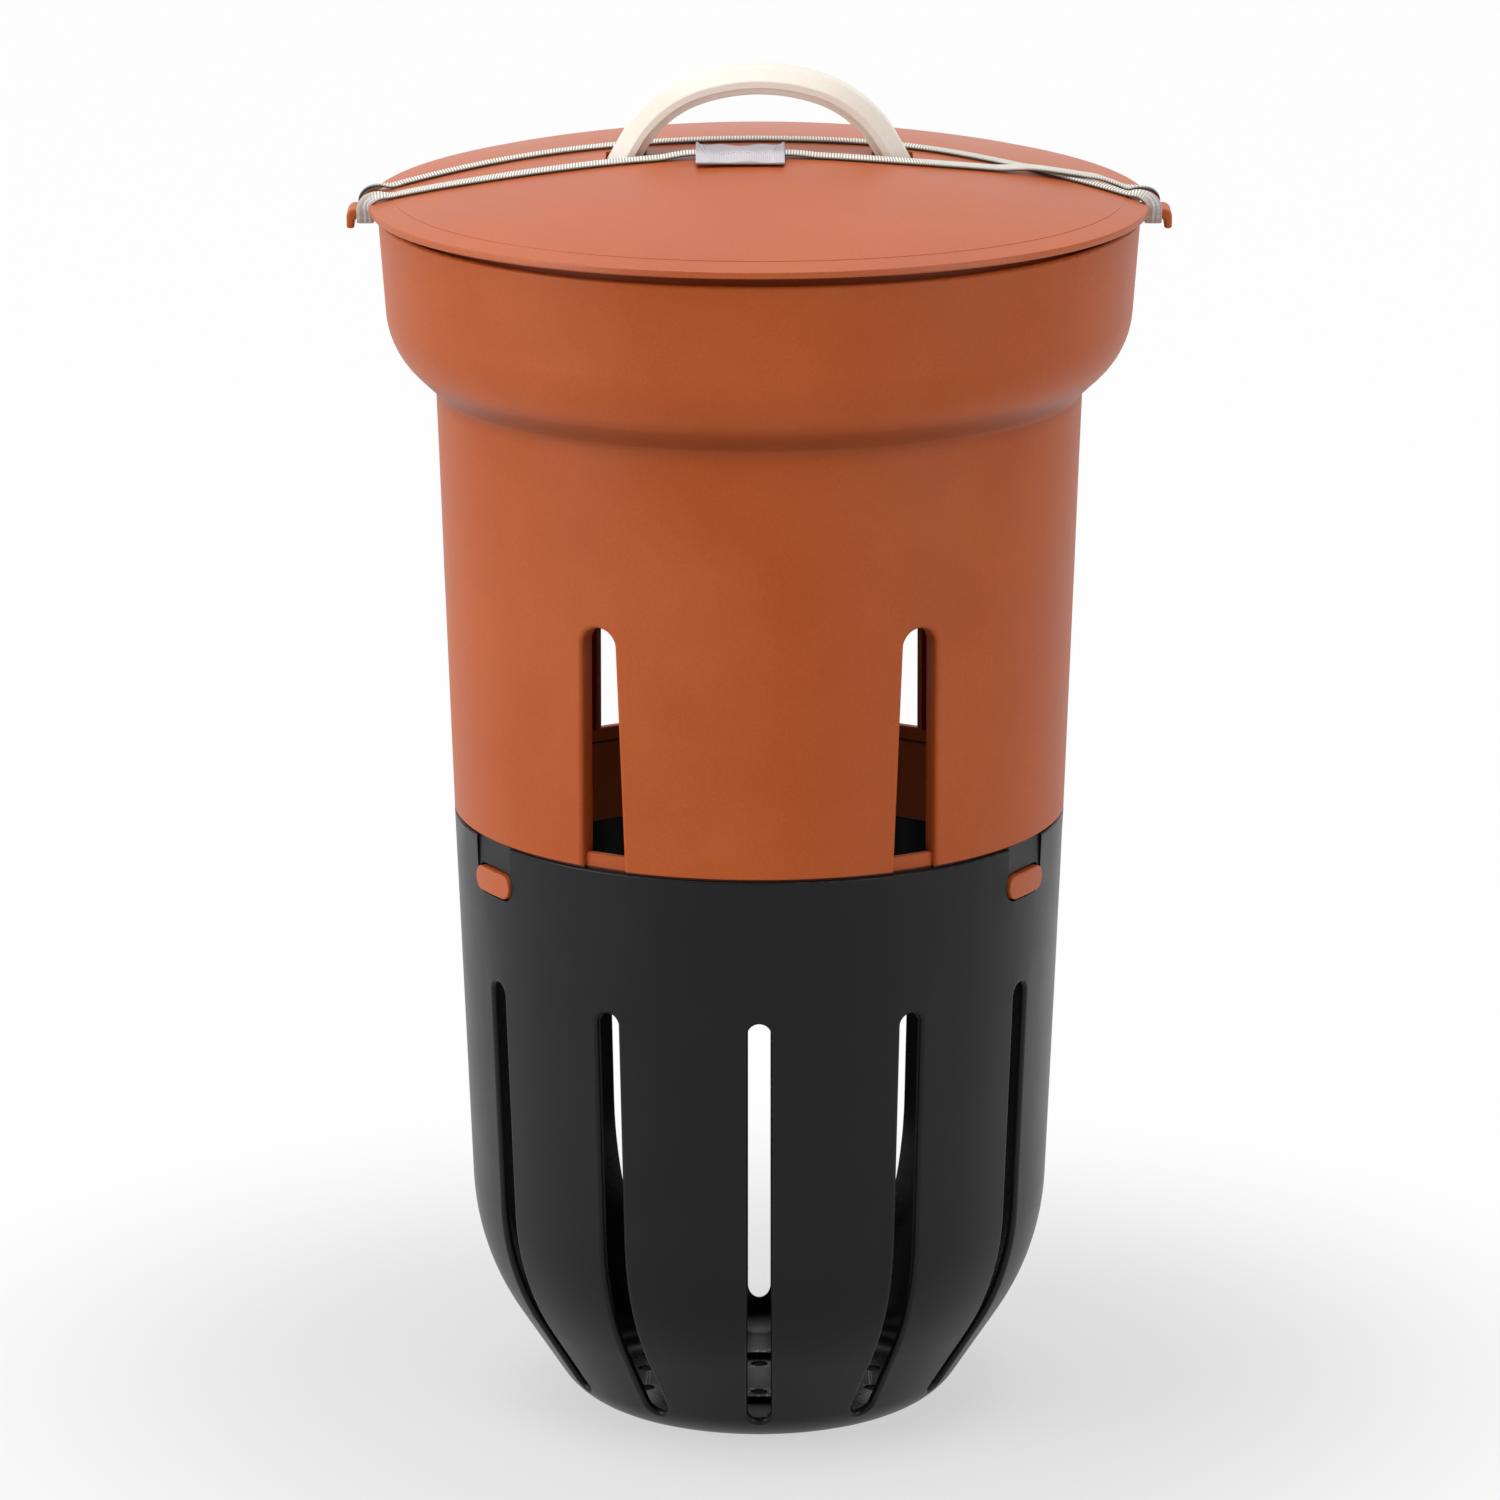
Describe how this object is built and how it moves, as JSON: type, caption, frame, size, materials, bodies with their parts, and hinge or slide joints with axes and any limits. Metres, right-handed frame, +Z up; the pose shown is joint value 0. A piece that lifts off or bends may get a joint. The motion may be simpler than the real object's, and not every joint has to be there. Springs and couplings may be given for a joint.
{
  "type": "worm composter",
  "caption": "Free-standing worm composter: slotted tapered basket, slotted barrel with a flared collar snapped on it, bowed lid with an arched handle held by an elastic strap.",
  "frame": {"origin": "middle of the flat base, on the ground", "axes": "+Z up along the body's axis, front towards -Y, the two strap ears along X"},
  "size_m": [0.3274, 0.3104, 0.55],
  "materials": {
    "black_plastic": "satin moulded",
    "terracotta_plastic": "satin moulded",
    "tab_plastic": "satin moulded",
    "cream_plastic": "semi-gloss moulded",
    "grey_elastic": "knitted elastic",
    "padded_cloth": "woven, stitched"
  },
  "bodies": {
    "basket": {"basket": "black_plastic"},
    "barrel": {"barrel": "terracotta_plastic"},
    "lid": {"lid": "terracotta_plastic", "handle": "cream_plastic", "elastic_strap": "grey_elastic", "strap_tag": "padded_cloth"},
    "left_tab": {"snap_tab_left": "tab_plastic"},
    "right_tab": {"snap_tab_right": "tab_plastic"},
    "rear_tab": {"snap_tab_rear": "tab_plastic"}
  },
  "joints": [
    {"name": "barrel_lift", "type": "slide", "parent": "basket", "child": "barrel", "axis": [0, 0, 1], "range_m": [0, 0.06], "deforming": ["snap_tab_left", "snap_tab_right", "snap_tab_rear"]},
    {"name": "lid_lift", "type": "slide", "parent": "barrel", "child": "lid", "axis": [0, 0, 1], "range_m": [0, 0.05], "stiffness_N_per_m": 80, "springref_m": -0.03, "deforming": ["elastic_strap"]},
    {"name": "left_tab_press", "type": "hinge", "parent": "barrel", "child": "left_tab", "pos_m": [-0.10063, -0.0581, 0.2473], "axis": [0.5, -0.866, 0], "range_deg": [0, 20], "stiffness_Nm_per_rad": 0.45},
    {"name": "right_tab_press", "type": "hinge", "parent": "barrel", "child": "right_tab", "pos_m": [0.10063, -0.0581, 0.2473], "axis": [0.5, 0.866, 0], "range_deg": [0, 20], "stiffness_Nm_per_rad": 0.45},
    {"name": "rear_tab_press", "type": "hinge", "parent": "barrel", "child": "rear_tab", "pos_m": [0, 0.1162, 0.2473], "axis": [-1, 0, 0], "range_deg": [0, 20], "stiffness_Nm_per_rad": 0.45}
  ]
}
